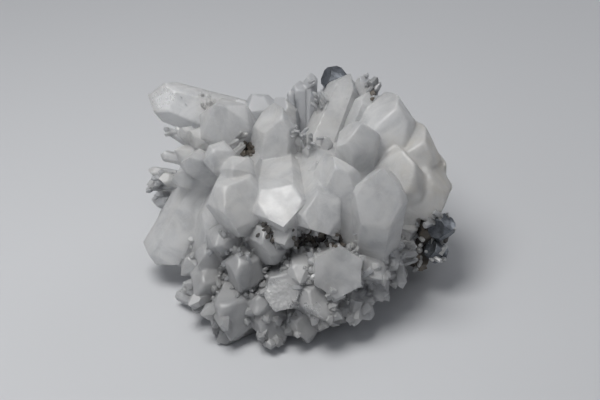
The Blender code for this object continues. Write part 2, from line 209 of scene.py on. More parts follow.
class Shader:
    """A material while its nodes are being laid."""

    def __init__(self, name: str) -> None:
        """Start a material with a Principled shader.

        Args:
            name: The material's name.
        """
        self.material = bpy.data.materials.new(name)
        self.material.use_nodes = True
        self.tree = self.material.node_tree
        self.surface = self.tree.nodes["Principled BSDF"]
        self._place: Signal | None = None

    def node(self, kind: str, settings: dict[str, Any] | None = None,
             inputs: dict[Any, Any] | None = None) -> bpy.types.Node:
        """Add a node, set it up and connect it.

        Args:
            kind: The node's type.
            settings: The node's own settings; stops are a colour ramp's (position, grey) pairs.
            inputs: Values, or signals to link, by the name or index of the socket.

        Returns:
            The new node.
        """
        made = self.tree.nodes.new(kind)
        for name, value in (settings or {}).items():
            if name == "stops":
                self._set_stops(made, value)
            else:
                setattr(made, name, value)
        for name, value in (inputs or {}).items():
            self.feed(made.inputs[name], value)
        return made

    @staticmethod
    def _set_stops(ramp: bpy.types.Node, stops: Sequence[tuple[float, float]]) -> None:
        """Give a colour ramp its stops.

        Args:
            ramp: The colour ramp node.
            stops: Pairs of a position and a grey level.
        """
        elements = ramp.color_ramp.elements
        while len(elements) < len(stops):
            elements.new(1.0)
        for element, (position, level) in zip(elements, stops):
            element.position = position
            element.color = (level, level, level, 1)

    def feed(self, socket: bpy.types.NodeSocket, value: Any) -> None:
        """Link a signal to a socket, or set the socket's own value.

        Args:
            socket: The input socket.
            value: A signal, a number or a colour.
        """
        if isinstance(value, Signal):
            self.tree.links.new(value.socket, socket)
        else:
            socket.default_value = value

    def value(self, kind: str, settings: dict[str, Any] | None = None,
              inputs: dict[Any, Any] | None = None, output: Any = 0) -> Signal:
        """Add a node and take one of its outputs.

        Args:
            kind: The node's type.
            settings: The node's own settings.
            inputs: Values or signals of its sockets.
            output: The name or index of the output.

        Returns:
            That output as a signal.
        """
        return Signal(self, self.node(kind, settings, inputs).outputs[output])

    def place(self) -> Signal:
        """Give the place on the object, in metres."""
        if self._place is None:
            self._place = self.value("ShaderNodeTexCoord", output="Object")
        return self._place

    def noise(self, kind: Mottle) -> Signal:
        """Add a pattern of lumps as it is, without stretching its levels.

        Args:
            kind: The pattern.

        Returns:
            The pattern, from 0 to 1.
        """
        return self.value("ShaderNodeTexNoise", {}, {
            "Vector": self.place(), "Scale": 1 / (kind.size * MM), "Detail": kind.detail,
            "Roughness": kind.roughness, "Distortion": kind.swirl,
        })

    def mottle(self, kind: Mottle) -> Signal:
        """Add a pattern of lumps and stretch its levels.

        Args:
            kind: The pattern.

        Returns:
            0 where the pattern is low and 1 where it is high.
        """
        stops = ((kind.low, 0), (kind.high, 1))
        return self.value("ShaderNodeValToRGB", {"stops": stops}, {"Fac": self.noise(kind)})

    def cells(self, size: float, feature: str = "F1") -> Signal:
        """Add a cell pattern.

        Args:
            size: The cells' size in millimetres.
            feature: The pattern's feature.

        Returns:
            The distance from the middle of each cell.
        """
        return self.value("ShaderNodeTexVoronoi", {"feature": feature}, {
            "Vector": self.place(), "Scale": 1 / (size * MM),
        }, "Distance")

    def near(self, middle: Vector, radius: float) -> Signal:
        """Mark a round region, with a soft edge.

        Args:
            middle: The region's middle, in metres.
            radius: Its radius in millimetres.

        Returns:
            1 up to half the radius, and from there less and less, to 0 at the radius.
        """
        distance = self.value(
            "ShaderNodeVectorMath", {"operation": "DISTANCE"}, {0: self.place(), 1: middle}, 1
        )
        return ((1 - distance / (radius * MM)) * 2).clamped()

    def mix(self, factor: Any, first: Any, second: Any) -> Signal:
        """Mix two colours.

        Args:
            factor: How much of the second there is, 0 to 1.
            first: A colour or signal.
            second: A colour or signal.

        Returns:
            The mixed colour.
        """
        colours = {"data_type": "RGBA"}
        return self.value("ShaderNodeMix", colours, {0: factor, 6: first, 7: second}, 2)

    def bump(self, height: Signal, relief: Bump, under: Signal | None = None) -> Signal:
        """Turn a height into a normal.

        Args:
            height: The height, 0 to 1.
            relief: How deep it is.
            under: The normal that it is laid on.

        Returns:
            The new normal.
        """
        inputs: dict[Any, Any] = {
            "Height": height, "Distance": relief.depth * MM, "Strength": relief.strength,
        }
        if under is not None:
            inputs["Normal"] = under
        return self.value("ShaderNodeBump", {}, inputs)

    def set(self, **sockets: Any) -> None:
        """Set or link the Principled shader's sockets.

        Args:
            **sockets: Socket names with an underscore for each space, and their values.
        """
        for name, value in sockets.items():
            self.feed(self.surface.inputs[name.replace("_", " ")], value)


QUARTZ_REFRACTION = 1.544


@dataclass(frozen=True)
class MilkyQuartz:
    """Milky quartz: light wanders through it, and its faces are lightly frosted.

    Stained, greyed and glittering are round regions with a radius in millimetres, and the
    bright regions have a strength as well. Stained is a real warm stain, greyed is painted shade
    over the lower-left lumps, glittering holds small bumps and a painted glint, and the bright
    regions are painted highlights. Reach is how far light wanders, in millimetres.
    """

    name: str = "milky_quartz"
    glassy: Colour = (0.70, 0.71, 0.725, 1)
    milky: Colour = (0.93, 0.935, 0.94, 1)
    veil: Colour = (0.97, 0.975, 0.98, 1)
    stain: Colour = (0.70, 0.65, 0.56, 1)
    # Painted shade: this grey darkens the lower-left lumps, which lie in shade under the top light.
    grey: Colour = (0.47, 0.475, 0.485, 1)
    clouds: Mottle = Mottle(9, 4, 0.58, 0.8, 0.34, 0.62)
    wisps: Mottle = Mottle(3.0, 5, 0.62, 2.2, 0.50, 0.74)
    stains: Mottle = Mottle(12, 4, 0.6, 0, 0.44, 0.74)
    frost: Mottle = Mottle(5, 4, 0.6, 0, 0.40, 0.66)
    flecks: Mottle = Mottle(2.2, 4, 0.6, 0, 0.36, 0.6)
    ripples: Mottle = Mottle(2.0, 3, 0.5, 0.8)
    ripple_relief: Bump = Bump(0.20, 0.30)
    glitter_size: float = 1.0
    glitter_relief: Bump = Bump(0.35, 0.7)
    wisp_share: float = 0.6
    stain_share: float = 0.25
    warm_share: float = 0.2
    warm_stain_share: float = 0.4
    painted_shade_share: float = 0.6
    painted_glint_share: float = 0.8
    reach: float = 8.0
    reach_by_colour: tuple[float, float, float] = (1.0, 1.0, 1.02)
    clarity: float = 0.50
    gloss: float = 0.30
    frosted: float = 0.18
    polished: float = 0.16
    stained: Region = (VIEW.place(43, 6, 2), 24)
    # Painted shade: this region covers the lower-left lumps.
    painted_shade_region: Region = (VIEW.place(-20, -32, 16), 30)
    # Painted glint: this region's colour is whitened all over, besides its small bumps.
    painted_glint_region: Region = (VIEW.place(-6, -31.5, 26), 7.0)
    # Painted highlights: whitened flecks at the tip of the top-left crystal and on a low front lump.
    bright: Sequence[tuple[Vector, float, float]] = (
        (VIEW.place(-45, 34, -4), 6.0, 1.0), (VIEW.place(4, -35, 26), 4.0, 0.8),
    )

    def make(self) -> bpy.types.Material:
        """Lay the material's nodes.

        Returns:
            The material.
        """
        shader = Shader(self.name)
        glitter = shader.near(*self.painted_glint_region)
        # Painted glints and highlights, which also lower the roughness.
        painted_glint = self.painted_glints(shader, glitter)
        roughness = self.gloss + shader.mottle(self.frost) * self.frosted - painted_glint * self.polished
        normal = shader.bump(shader.noise(self.ripples), self.ripple_relief)
        normal = shader.bump(shader.cells(self.glitter_size) * glitter, self.glitter_relief, normal)
        shader.set(
            Base_Color=self.colour(shader, painted_glint), Roughness=roughness, IOR=QUARTZ_REFRACTION,
            Normal=normal, Subsurface_Weight=1 - self.clarity,
            Subsurface_Radius=self.reach_by_colour, Subsurface_Scale=self.reach * MM,
            Transmission_Weight=self.clarity,
        )
        return shader.material

    def painted_glints(self, shader: Shader, glitter: Signal) -> Signal:
        """Mark the painted glints: all of the glint region is whitened, and flecks in the painted
        highlight regions.

        Args:
            shader: The material while it is being laid.
            glitter: The region with the painted glint and its small bumps.

        Returns:
            0 to 1.
        """
        flecks = shader.mottle(self.flecks)
        painted_glint = glitter
        for middle, radius, strength in self.bright:
            painted_glint = painted_glint + shader.near(middle, radius) * flecks * strength
        return painted_glint.clamped()

    def colour(self, shader: Shader, painted_glint: Signal) -> Signal:
        """Lay clouds, wisps, stains, the painted shade of the grey region and the painted highlights
        of the bright ones over one another.

        Args:
            shader: The material while it is being laid.
            painted_glint: Where painted glints and highlights whiten the quartz.

        Returns:
            The colour.
        """
        stains = shader.mottle(self.stains)
        warmth = shader.near(*self.stained) * (self.warm_share + stains * self.warm_stain_share)
        stained = (stains * self.stain_share + warmth).clamped()
        colour = shader.mix(shader.mottle(self.clouds), self.glassy, self.milky)
        colour = shader.mix(shader.mottle(self.wisps) * self.wisp_share, colour, self.veil)
        colour = shader.mix(stained, colour, self.stain)
        # Painted shade: grey laid over the lower-left lumps.
        colour = shader.mix(shader.near(*self.painted_shade_region) * self.painted_shade_share, colour, self.grey)
        # Painted glints and highlights: the colour is whitened toward the veil's.
        return shader.mix(painted_glint * self.painted_glint_share, colour, self.veil)


@dataclass(frozen=True)
class ClearQuartz:
    """Small clear quartz crystals, greyish where they are thick."""

    name: str = "clear_quartz"
    tint: Colour = (0.57, 0.58, 0.60, 1)
    haze: Mottle = Mottle(2.5, 3, 0.6, 0, 0.35, 0.7)
    ripples: Mottle = Mottle(1.6, 2, 0.5)
    ripple_relief: Bump = Bump(0.08, 0.3)
    reach: float = 4.0
    reach_by_colour: tuple[float, float, float] = (1.0, 1.0, 1.04)
    clarity: float = 0.38
    gloss: float = 0.32
    hazed: float = 0.15

    def make(self) -> bpy.types.Material:
        """Lay the material's nodes.

        Returns:
            The material.
        """
        shader = Shader(self.name)
        shader.set(
            Base_Color=self.tint, Roughness=self.gloss + shader.mottle(self.haze) * self.hazed,
            IOR=QUARTZ_REFRACTION, Normal=shader.bump(shader.noise(self.ripples), self.ripple_relief),
            Transmission_Weight=self.clarity, Subsurface_Weight=1 - self.clarity,
            Subsurface_Scale=self.reach * MM, Subsurface_Radius=self.reach_by_colour,
        )
        return shader.material


@dataclass(frozen=True)
class Sphalerite:
    """Sphalerite: dark brown and resinous, with cleavage steps."""

    name: str = "sphalerite"
    dark: Colour = (0.045, 0.040, 0.035, 1)
    brown: Colour = (0.16, 0.13, 0.095, 1)
    patches: Mottle = Mottle(6, 4, 0.6, 0, 0.42, 0.72)
    large_steps: float = 2.2
    large_relief: Bump = Bump(0.5, 0.6)
    small_steps: float = 1.1
    small_relief: Bump = Bump(0.25, 0.5)
    gloss: float = 0.34
    dulled: float = 0.25
    refraction: float = 1.8

    def make(self) -> bpy.types.Material:
        """Lay the material's nodes.

        Returns:
            The material.
        """
        shader = Shader(self.name)
        patches = shader.mottle(self.patches)
        normal = shader.bump(shader.cells(self.large_steps), self.large_relief)
        small = shader.cells(self.small_steps, "SMOOTH_F1")
        shader.set(
            Base_Color=shader.mix(patches, self.dark, self.brown), IOR=self.refraction,
            Roughness=self.gloss + patches * self.dulled,
            Normal=shader.bump(small, self.small_relief, normal),
        )
        return shader.material


@dataclass(frozen=True)
class Galena:
    """Galena: lead grey metal with stepped cleavage faces, dulled in patches."""

    name: str = "galena"
    bright: Colour = (0.27, 0.29, 0.32, 1)
    dull: Colour = (0.12, 0.13, 0.145, 1)
    tarnish: Mottle = Mottle(2.6, 4, 0.6, 0, 0.4, 0.68)
    step_size: float = 1.4
    step_relief: Bump = Bump(0.12, 0.5)
    gloss: float = 0.38
    dulled: float = 0.25

    def make(self) -> bpy.types.Material:
        """Lay the material's nodes.

        Returns:
            The material.
        """
        shader = Shader(self.name)
        tarnish = shader.mottle(self.tarnish)
        shader.set(
            Base_Color=shader.mix(tarnish, self.bright, self.dull), Metallic=1.0,
            Roughness=self.gloss + tarnish * self.dulled,
            Normal=shader.bump(shader.cells(self.step_size), self.step_relief),
        )
        return shader.material


@dataclass(frozen=True)
class PaleFloor:
    """A plain pale studio floor."""

    name: str = "floor"
    tone: Colour = (0.60, 0.61, 0.63, 1)
    gloss: float = 0.55

    def make(self) -> bpy.types.Material:
        """Lay the material's nodes.

        Returns:
            The material.
        """
        shader = Shader(self.name)
        shader.set(Base_Color=self.tone, Roughness=self.gloss)
        return shader.material


WELD = 1e-7
FLAT = math.radians(1)
SEED_STEP = (7.3, 3.1, 5.7)


def bmesh_of(piece: bpy.types.Object) -> bmesh.types.BMesh:
    """Read a piece's mesh into a bmesh with its loose seams welded.

    Args:
        piece: The object to read.

    Returns:
        A new bmesh.
    """
    body = bmesh.new()
    body.from_mesh(piece.data)
    bmesh.ops.remove_doubles(body, verts=body.verts, dist=WELD)
    return body


def add_piece(name: str, body: bmesh.types.BMesh, material: bpy.types.Material,
              sharp: float) -> bpy.types.Object:
    """Make a piece of the model from a bmesh, smooth but for its sharp edges.

    Args:
        name: The piece's name.
        body: Its shape, which is freed.
        material: Its finish.
        sharp: Edges that bend more than this, in degrees, stay sharp.

    Returns:
        The new object.
    """
    mesh = bpy.data.meshes.new(name)
    body.to_mesh(mesh)
    body.free()
    mesh.materials.clear()
    mesh.materials.append(material)
    mesh.polygons.foreach_set("material_index", [0] * len(mesh.polygons))
    mesh.shade_smooth()
    mesh.set_sharp_from_angle(angle=math.radians(sharp))
    piece = bpy.data.objects.new(name, mesh)
    bpy.context.scene.collection.objects.link(piece)
    return piece


@dataclass(frozen=True)
class Relief:
    """The waviness of a grown surface: lumps of a size, and how far they stand out."""

    size: float
    depth: float
    seed: int

    def apply(self, body: bmesh.types.BMesh, share: Callable[[Vector], float] | None = None) -> None:
        """Move a mesh's points along their normals.

        Args:
            body: The mesh.
            share: How much of the relief a place gets, 0 to 1. All of it if there is none.
        """
        body.normal_update()
        shift = Vector([self.seed * step for step in SEED_STEP])
        scale = 1 / (self.size * MM)
        for vert in body.verts:
            depth = self.depth * MM * (share(vert.co) if share else 1)
            if depth:
                vert.co += vert.normal * (noise.noise(vert.co * scale + shift) * depth)


def remesh_evenly(body: bmesh.types.BMesh, size: float) -> bmesh.types.BMesh:
    """Rebuild a closed mesh from even small faces, which softens its edges a little.

    Args:
        body: The mesh, which is freed.
        size: The size of the faces in metres.

    Returns:
        The new mesh.
    """
    before = bpy.data.meshes.new("before")
    body.to_mesh(before)
    body.free()
    carrier = bpy.data.objects.new("carrier", before)
    bpy.context.scene.collection.objects.link(carrier)
    remesh = carrier.modifiers.new("even", "REMESH")
    remesh.mode = "VOXEL"
    remesh.voxel_size = size
    evaluated = carrier.evaluated_get(bpy.context.evaluated_depsgraph_get())
    after = bpy.data.meshes.new_from_object(evaluated)
    bpy.data.objects.remove(carrier)
    result = bmesh.new()
    result.from_mesh(after)
    bpy.data.meshes.remove(after)
    bpy.data.meshes.remove(before)
    return result


def split_evenly(body: bmesh.types.BMesh, size: float, rounds: int) -> None:
    """Split a mesh into small triangles and leave its shape and its edges as they are.

    Args:
        body: The mesh.
        size: The longest edge that should stay, in metres.
        rounds: How many times edges are halved at most.
    """
    bmesh.ops.triangulate(body, faces=body.faces)
    for _ in range(rounds):
        long_edges = [edge for edge in body.edges if edge.calc_length() > size]
        bmesh.ops.subdivide_edges(body, edges=long_edges, cuts=1)
        bmesh.ops.triangulate(body, faces=[face for face in body.faces if len(face.verts) > 3])


def flat_groups(body: bmesh.types.BMesh) -> Iterator[list[bmesh.types.BMFace]]:
    """Gather the faces of a mesh that lie side by side in one plane.

    Args:
        body: The mesh.

    Yields:
        The faces of each plane.
    """
    seen = set()
    for first in body.faces:
        if first in seen:
            continue
        seen.add(first)
        group, waiting = [], [first]
        while waiting:
            face = waiting.pop()
            group.append(face)
            for edge in face.edges:
                if edge.calc_face_angle(math.pi) > FLAT:
                    continue
                beside = [other for other in edge.link_faces if other not in seen]
                seen.update(beside)
                waiting.extend(beside)
        yield group


@dataclass(frozen=True)
class Zone:
    """A round region of the cluster, as it is seen from the viewpoint.

    Depth is how far it goes toward the eye and away from it.
    """

    across: float
    up: float
    toward: float
    radius: float
    depth: float

    def holds(self, place: Vector) -> bool:
        """Say whether a place, in metres, lies in the region.

        Args:
            place: The place in the frame's axes.

        Returns:
            Whether it does.
        """
        across, up, toward = VIEW.seen(place)
        beside = math.hypot(across - self.across, up - self.up)
        return beside < self.radius and abs(toward - self.toward) < self.depth


@dataclass
class QuartzCluster:
    """The intergrown quartz: large milky crystals, and clear ones along the top.

    Between low_from and low_to, which are heights in the view, the low reliefs come in.
    """

    node: str = "quartz_cluster"
    edge_size: float = 1.3
    halvings: int = 6
    sharp: float = 26
    reliefs: Sequence[Relief] = (Relief(11.0, 0.30, 1), Relief(3.6, 0.08, 2))
    low_reliefs: Sequence[Relief] = (Relief(4.0, 0.35, 4), Relief(2.0, 0.20, 5))
    worn_rounds: int = 3
    worn_softening: float = 0.5
    low_from: float = -12
    low_to: float = -26
    worn_zones: Sequence[Zone] = (
        Zone(36, 14, 4, 21, 22), Zone(-24, 8, 14, 9, 18), Zone(-24, -34, 16, 15, 24),
    )
    clear_zones: Sequence[Zone] = (
        Zone(1.5, 31.5, -15, 9, 5.5), Zone(-13, 30, -10, 7, 6), Zone(23.5, 36, -14, 6, 6),
    )
    milky: MilkyQuartz = field(default_factory=MilkyQuartz)
    clear: ClearQuartz = field(default_factory=ClearQuartz)

    def build(self) -> bpy.types.Object:
        """Make the fine mesh of the cluster and let it stand for the node.

        Returns:
            The piece.
        """
        body = bmesh_of(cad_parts[self.node])
        self.mark_clear(body)
        split_evenly(body, self.edge_size * MM, self.halvings)
        worn = [vert for vert in body.verts if any(zone.holds(vert.co) for zone in self.worn_zones)]
        for _ in range(self.worn_rounds):
            bmesh.ops.smooth_vert(
                body, verts=worn, factor=self.worn_softening,
                use_axis_x=True, use_axis_y=True, use_axis_z=True,
            )
        for relief in self.reliefs:
            relief.apply(body)
        for relief in self.low_reliefs:
            relief.apply(body, self.lowness)
        marks = [face.material_index for face in body.faces]
        piece = add_piece("milky_quartz_cluster", body, self.milky.make(), self.sharp)
        piece.data.materials.append(self.clear.make())
        piece.data.polygons.foreach_set("material_index", marks)
        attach(piece, BODY)
        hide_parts(self.node)
        return piece

    def mark_clear(self, body: bmesh.types.BMesh) -> None:
        """Mark the faces of the clear crystals, each face as a whole.

        Args:
            body: The mesh of the cluster.
        """
        for group in flat_groups(body):
            area = sum(face.calc_area() for face in group)
            weighed = (face.calc_center_median() * face.calc_area() for face in group)
            middle = sum(weighed, Vector()) / area
            mark = int(any(zone.holds(middle) for zone in self.clear_zones))
            for face in group:
                face.material_index = mark

    def lowness(self, place: Vector) -> float:
        """Say how far down the front a place is, where the crystals are rougher.

        Args:
            place: A place in metres.

        Returns:
            From 0 at the large crystals to 1 at the lowest ones.
        """
        up = VIEW.seen(place)[1]
        return min(max((up - self.low_from) / (self.low_to - self.low_from), 0), 1)


class Habit(Enum):
    """How long a small crystal is, in widths."""

    STUBBY = 1.4
    STOUT = 2.1
    SLENDER = 3.6
    NEEDLE = 7.5


# How a place's shelter is felt: rays, how much they keep to the surface's own direction, and
# how far above the surface each ray starts, in millimetres
SKY_RAYS = 14
SKY_UPRIGHT = 1.2
RAY_LIFT = 0.2


class Surface:
    """A finished surface that small crystals grow on."""

    def __init__(self, piece: bpy.types.Object) -> None:
        """Read a piece's surface.

        Args:
            piece: The piece, which stands at the origin.
        """
        mesh = piece.data
        mesh.calc_loop_triangles()
        self.points = [vert.co.copy() for vert in mesh.vertices]
        self.faces = [tuple(face.vertices) for face in mesh.loop_triangles]
        self.normals = [face.normal.copy() for face in mesh.loop_triangles]
        self.tree = BVHTree.FromPolygons(self.points, self.faces)
        self.running = np.cumsum([face.area for face in mesh.loop_triangles])

    def pick(self, chance: random.Random) -> tuple[Vector, Vector]:
        """Pick a place anywhere on the surface.

        Args:
            chance: The source of chance.

        Returns:
            The place and the way the surface looks there.
        """
        index = int(np.searchsorted(self.running, chance.random() * self.running[-1]))
        first, second, third = (self.points[corner] for corner in self.faces[index])
        reach, side = math.sqrt(chance.random()), chance.random()
        place = first + (second - first) * (reach * (1 - side)) + (third - first) * (reach * side)
        return place, self.normals[index]

    def near(self, place: Vector) -> tuple[Vector, Vector]:
        """Find the surface's nearest place.

        Args:
            place: A place in metres.

        Returns:
            The nearest place on the surface and the way the surface looks there.
        """
        found, normal, _, _ = self.tree.find_nearest(place)
        return found, normal

    def shelter(self, place: Vector, normal: Vector, reach: float, chance: random.Random) -> float:
        """Say how much of the sky above a place the surface itself covers.

        Args:
            place: A place on the surface.
            normal: The way the surface looks there.
            reach: How far away a cover still counts, in metres.
            chance: The source of chance.

        Returns:
            The covered share, 0 to 1.
        """
        covered = 0
        for _ in range(SKY_RAYS):
            ray = (normal * SKY_UPRIGHT + random_direction(chance)).normalized()
            if self.tree.ray_cast(place + normal * RAY_LIFT * MM, ray, reach)[0] is not None:
                covered += 1
        return covered / SKY_RAYS


def random_direction(chance: random.Random) -> Vector:
    """Pick a direction, every one as likely as another.

    Args:
        chance: The source of chance.

    Returns:
        A vector of length 1.
    """
    height = chance.uniform(-1, 1)
    bearing = chance.uniform(0, math.tau)
    reach = math.sqrt(1 - height * height)
    return Vector((reach * math.cos(bearing), reach * math.sin(bearing), height))


def slice_off(body: bmesh.types.BMesh, place: Vector, outward: Vector) -> None:
    """Cut a convex body along a plane, drop the outer side and close the cut.

    Args:
        body: The body.
        place: A place on the plane.
        outward: The way the plane looks.
    """
    cut = bmesh.ops.bisect_plane(
        body, geom=body.verts[:] + body.edges[:] + body.faces[:],
        plane_co=place, plane_no=outward, clear_outer=True,
    )
    rim = [item for item in cut["geom_cut"] if isinstance(item, bmesh.types.BMEdge)]
    if len(rim) > 2:
        bmesh.ops.contextual_create(body, geom=rim)


def shape_of(body: bmesh.types.BMesh) -> Shape:
    """Read a closed body into lists.

    Args:
        body: The body, which is freed.

    Returns:
        Its points, and its faces as lists of them.
    """
    bmesh.ops.recalc_face_normals(body, faces=body.faces)
    body.verts.index_update()
    points = np.array([vert.co[:] for vert in body.verts])
    faces = [[vert.index for vert in face.verts] for face in body.faces]
    body.free()
    return points, faces


# A small crystal of width 1: its radius at the foot and at the point, the slope of the
# point's faces, where the lowest of them starts and how far they differ, and its foot
FOOT_RADIUS = 0.5
POINT_RADIUS = 0.44
POINT_SLOPE = math.radians(51.8)
POINT_START = 0.92
POINT_SPREAD = 0.22
FOOT_LEVEL = -0.6


def small_crystal(habit: Habit, chance: random.Random) -> Shape:
    """Cut one small quartz crystal of width 1 that stands on the origin.

    Args:
        habit: How long it is.
        chance: The source of chance, for how far each face of its point is set back.

    Returns:
        Its points and faces.
    """
    body = bmesh.new()
    bmesh.ops.create_cone(
        body, cap_ends=True, segments=6, radius1=FOOT_RADIUS, radius2=POINT_RADIUS,
        depth=2 * habit.value,
    )
    for index in range(6):
        bearing = math.radians(60 * index)
        outward = Vector((
            math.sin(POINT_SLOPE) * math.cos(bearing),
            math.sin(POINT_SLOPE) * math.sin(bearing),
            math.cos(POINT_SLOPE),
        ))
        top = Vector((0, 0, habit.value * POINT_START + chance.uniform(0, POINT_SPREAD)))
        slice_off(body, top, outward)
    points, faces = shape_of(body)
    points[:, 2] = np.maximum(points[:, 2], FOOT_LEVEL)
    return points, faces


# The planes of a grain of sphalerite of width 1, and how far they are from its middle
GRAIN_PLANES = 7
GRAIN_REACH = (0.34, 0.5)


def ore_grain(chance: random.Random) -> Shape:
    """Cut one small blocky grain of sphalerite of width 1 around the origin.

    Args:
        chance: The source of chance, for its planes.

    Returns:
        Its points and faces.
    """
    body = bmesh.new()
    bmesh.ops.create_cube(body, size=1)
    for _ in range(GRAIN_PLANES):
        outward = random_direction(chance)
        slice_off(body, outward * chance.uniform(*GRAIN_REACH), outward)
    return shape_of(body)


class Growth:
    """Many small crystals gathered into one mesh."""

    def __init__(self, name: str, slot: str) -> None:
        """Start with none.

        Args:
            name: The name of the piece that they make up.
            slot: The name of a material slot; it is stored but not used.
        """
        self.name = name
        self.slot = slot
        self.points: list[np.ndarray] = []
        self.faces: list[list[int]] = []
        self.count = 0

    def plant(self, shape: Shape, foot: Vector, along: Vector, width: float, spin: float) -> None:
        """Add one crystal, and flatten what would reach below the floor.

        Args:
            shape: A crystal of width 1 that stands on the origin.
            foot: Where it stands, in metres.
            along: The way it points.
            width: Its width in metres.
            spin: How far it is turned about its length, in radians.
        """
        points, faces = shape
        turn = along.to_track_quat("Z", "Y").to_matrix() @ Matrix.Rotation(spin, 3, "Z")
        placed = points @ (np.array(turn).T * width) + np.array(foot)
        placed[:, 2] = np.maximum(placed[:, 2], 0)
        self.faces.extend([index + self.count for index in face] for face in faces)
        self.points.append(placed)
        self.count += len(points)

    def piece(self, material: bpy.types.Material) -> bpy.types.Object:
        """Make the piece.

        Args:
            material: Its finish.

        Returns:
            The new object, which rides on the cluster.
        """
        mesh = bpy.data.meshes.new(self.name)
        mesh.from_pydata(np.concatenate(self.points).tolist(), [], self.faces)
        mesh.materials.append(material)
        piece = bpy.data.objects.new(self.name, mesh)
        bpy.context.scene.collection.objects.link(piece)
        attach(piece, BODY)
        return piece


@dataclass(frozen=True)
class Patch:
    """A patch of small crystals: where it is in the view, how many there are and of what kind.

    Width is their range in millimetres, and lean a direction in the view that they favour.
    """

    across: float
    up: float
    toward: float
    radius: float
    count: int
    habit: Habit
    width: tuple[float, float]
    lean: tuple[float, float, float]
    clear: bool = True


